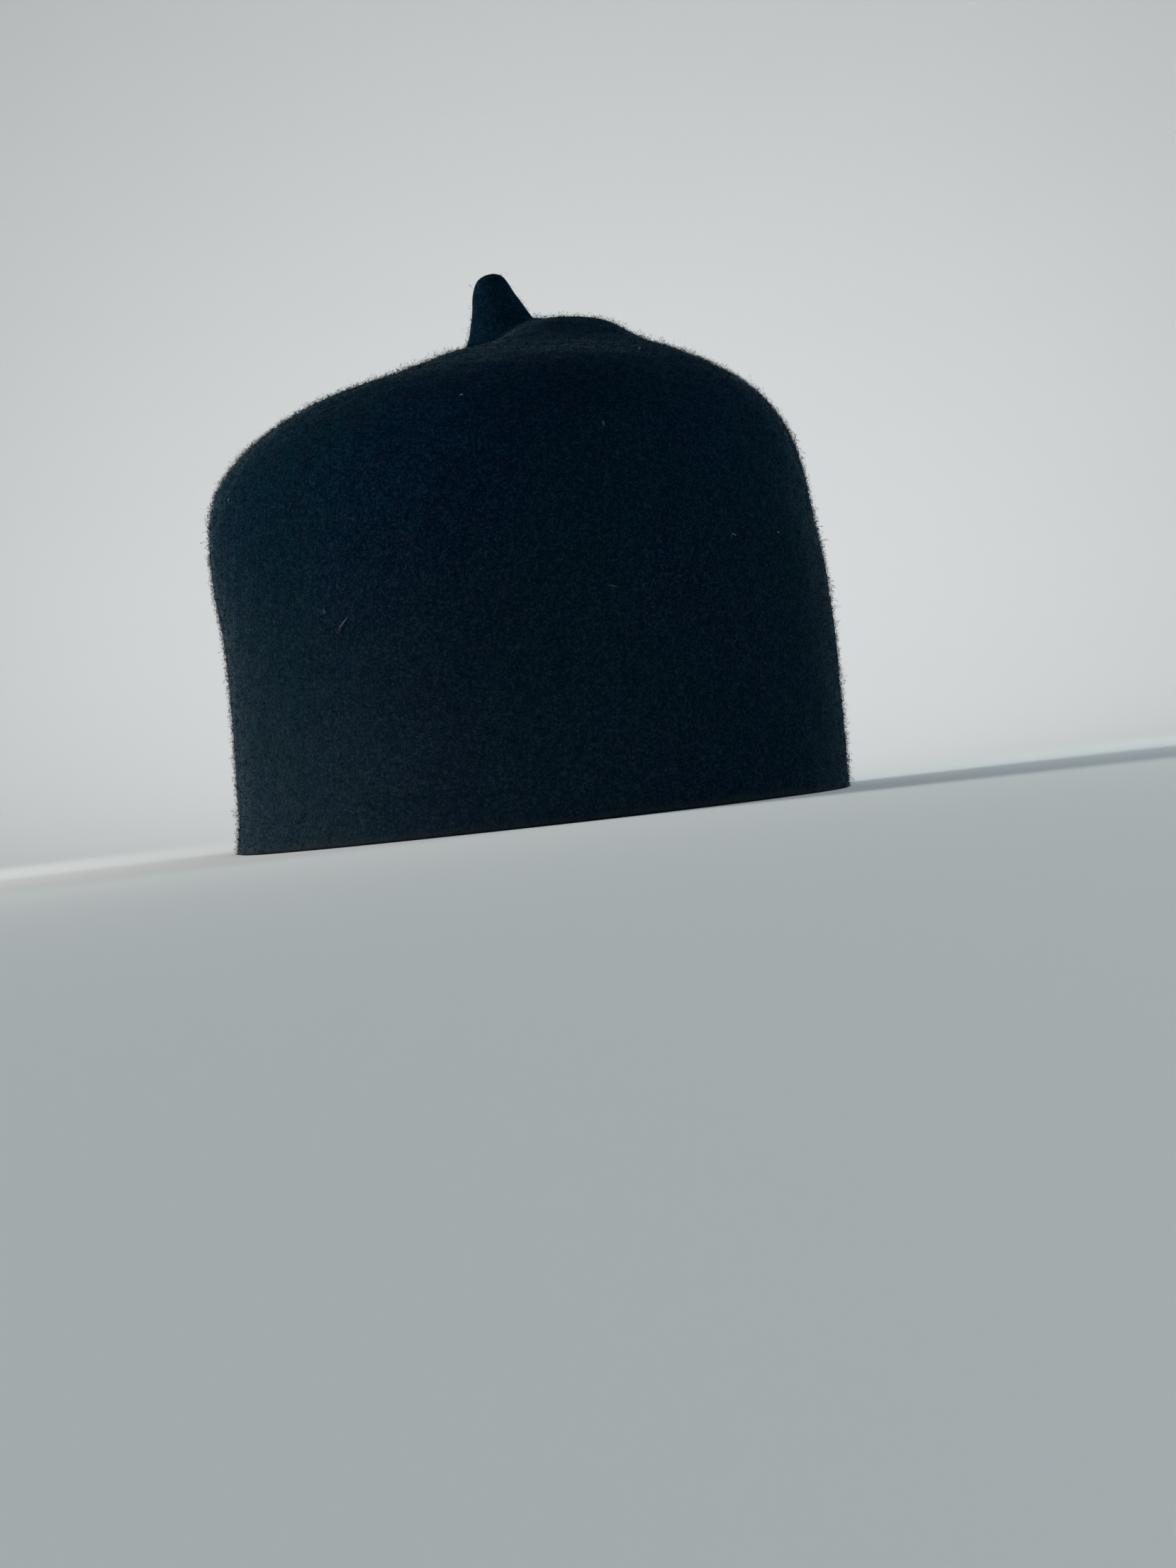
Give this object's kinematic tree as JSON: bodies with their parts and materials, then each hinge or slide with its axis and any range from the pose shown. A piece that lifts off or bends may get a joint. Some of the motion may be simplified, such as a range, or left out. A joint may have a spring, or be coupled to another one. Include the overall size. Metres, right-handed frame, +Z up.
{
  "type": "chieftaincy cap",
  "caption": "Tall brimless felt cap blocked in one piece, with upright walls, a soft domed crown and a short blunt tip drawn up from its centre.",
  "frame": {"origin": "on the surface that the rim rests on, under the middle of the part's box", "axes": "+Z up towards the tip, +Y from the brow to the nape, +X towards the wearer's left"},
  "size_m": [0.1694, 0.2042, 0.1522],
  "materials": {
    "felt": "matte blue-black wool felt with a short brushed nap"
  },
  "bodies": {
    "root": {"felt_cap": "felt"}
  },
  "joints": []
}
